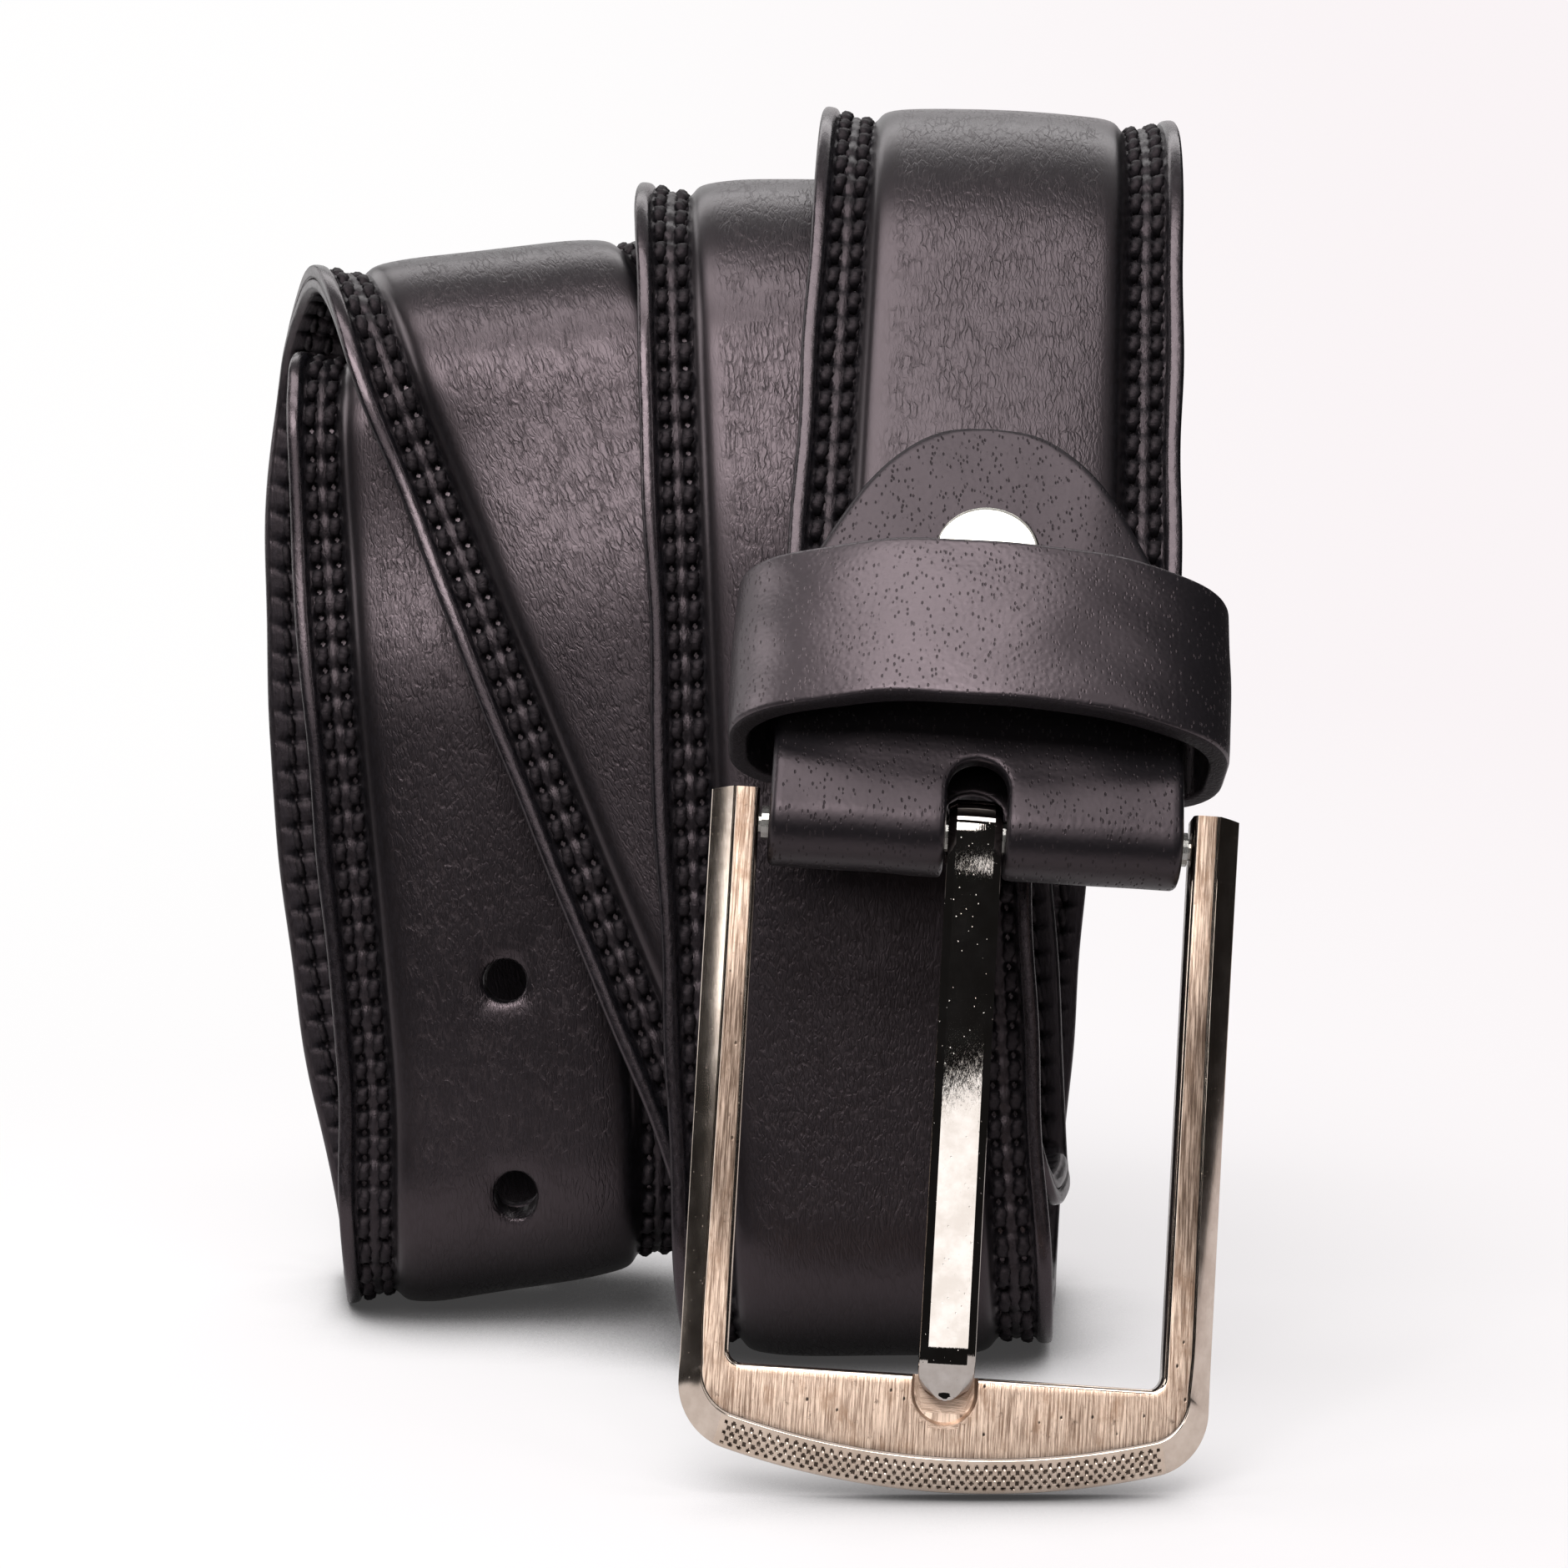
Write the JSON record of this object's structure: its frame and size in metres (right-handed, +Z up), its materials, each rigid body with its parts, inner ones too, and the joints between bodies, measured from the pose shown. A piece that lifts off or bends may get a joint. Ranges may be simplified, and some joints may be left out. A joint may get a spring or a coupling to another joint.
{
  "type": "leather belt",
  "caption": "Padded black leather belt with a pin buckle, rolled up and standing on edge; the buckle and prong swing on the bar and the keeper loop slides.",
  "frame": {"origin": "on the floor under the middle of the rolled belt's bounds", "axes": "+Z up, -Y the way the buckle's front faces, +X to the right as seen from the buckle's front, along the axis of the roll"},
  "size_m": [0.1014, 0.112, 0.1315],
  "materials": {
    "leather_face": "black grain leather, semi-gloss",
    "leather_lining": "black lining leather, matt",
    "leather_chape": "black fine-grain leather, semi-gloss",
    "padding": "pressed fibre padding",
    "thread": "waxed black thread",
    "gunmetal": "brushed warm gunmetal plating",
    "dark_nickel": "polished dark nickel plating",
    "bright_nickel": "polished nickel plating",
    "plated_steel": "plated steel"
  },
  "bodies": {
    "strap": {"strap_face": "leather_face", "strap_lining": "leather_lining", "strap_filler": "padding", "stitch_row_1": "thread", "stitch_row_2": "thread", "stitch_row_3": "thread", "stitch_row_4": "thread", "bobbin_row_1": "thread", "bobbin_row_2": "thread", "bobbin_row_3": "thread", "bobbin_row_4": "thread", "chape": "leather_chape", "post": "bright_nickel", "screw": "plated_steel"},
    "buckle": {"buckle_frame": "gunmetal", "buckle_bar": "plated_steel"},
    "prong": {"prong": "dark_nickel"},
    "keeper": {"keeper_loop": "leather_chape", "keeper_staple_1": "plated_steel", "keeper_staple_2": "plated_steel"}
  },
  "joints": [
    {"name": "buckle_swing", "type": "hinge", "parent": "strap", "child": "buckle", "pos_m": [0.02582, -0.03827, 0.05782], "axis": [-0.9979, 0.0144, 0.0632], "range_deg": [-10, 30]},
    {"name": "prong_swing", "type": "hinge", "parent": "buckle", "child": "prong", "pos_m": [0.02582, -0.03827, 0.05782], "axis": [-0.9979, 0.0144, 0.0632], "range_deg": [0, 70]},
    {"name": "keeper_slide", "type": "slide", "parent": "strap", "child": "keeper", "axis": [0.0613, 0.5289, 0.8465], "range_m": [-0.0035, 0.014]}
  ]
}
